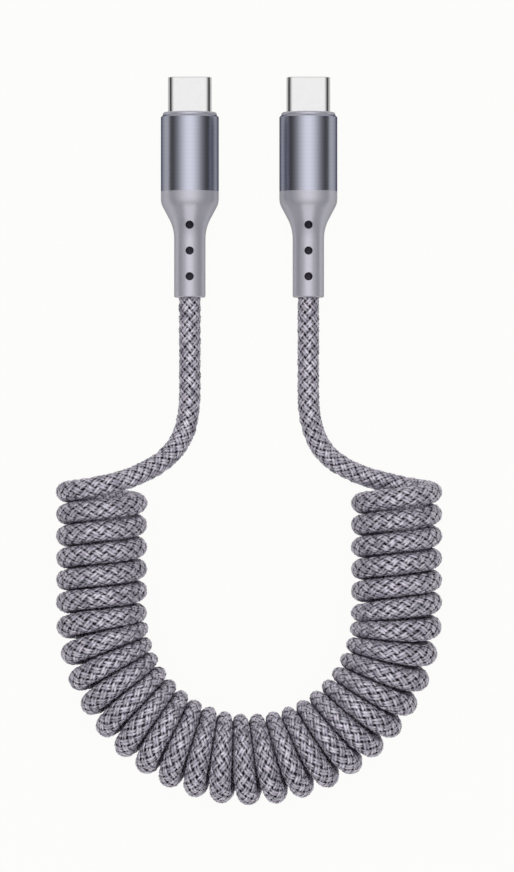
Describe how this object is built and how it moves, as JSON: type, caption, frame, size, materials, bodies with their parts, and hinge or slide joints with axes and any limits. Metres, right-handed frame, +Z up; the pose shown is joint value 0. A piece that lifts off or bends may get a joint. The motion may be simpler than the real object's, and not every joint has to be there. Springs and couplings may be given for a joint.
{
  "type": "coiled usb-c charging cable",
  "caption": "Braided charging cable with a close-wound springy coil in its middle and a metal-sleeved plug with a tapered strain relief on each end.",
  "frame": {"origin": "on the surface that the cable lies on, midway between the two plugs and midway along them", "axes": "+Z up from the surface, +Y the way both plugs push in, +X from the left plug to the right"},
  "size_m": [0.0723, 0.1367, 0.017],
  "materials": {
    "shell_steel": "polished",
    "carrier_plastic": "moulded",
    "contact_gold": "gold plated",
    "latch_steel": "stamped",
    "board": "solder mask",
    "power_insulation": "extruded",
    "ground_insulation": "extruded",
    "signal_insulation": "extruded",
    "mould_plastic": "moulded",
    "housing_plastic": "satin, moulded",
    "barrel_aluminium": "satin, anodised grey",
    "boot_plastic": "satin, moulded",
    "ring_brass": "crimped",
    "cable_braid": "braided, grey heather"
  },
  "bodies": {
    "root": {"left_plug_shell": "shell_steel", "left_contact_carrier": "carrier_plastic", "left_upper_contacts": "contact_gold", "left_lower_contacts": "contact_gold", "left_latch_plate": "latch_steel", "left_circuit_board": "board", "left_power_wire": "power_insulation", "left_ground_wire": "ground_insulation", "left_signal_wires": "signal_insulation", "left_inner_mould": "mould_plastic", "left_housing": "housing_plastic", "left_barrel": "barrel_aluminium", "left_strain_relief": "boot_plastic", "left_crimp_ring": "ring_brass", "right_plug_shell": "shell_steel", "right_contact_carrier": "carrier_plastic", "right_upper_contacts": "contact_gold", "right_lower_contacts": "contact_gold", "right_latch_plate": "latch_steel", "right_circuit_board": "board", "right_power_wire": "power_insulation", "right_ground_wire": "ground_insulation", "right_signal_wires": "signal_insulation", "right_inner_mould": "mould_plastic", "right_housing": "housing_plastic", "right_barrel": "barrel_aluminium", "right_strain_relief": "boot_plastic", "right_crimp_ring": "ring_brass", "left_lead": "cable_braid", "coil": "cable_braid", "right_lead": "cable_braid"}
  },
  "joints": []
}
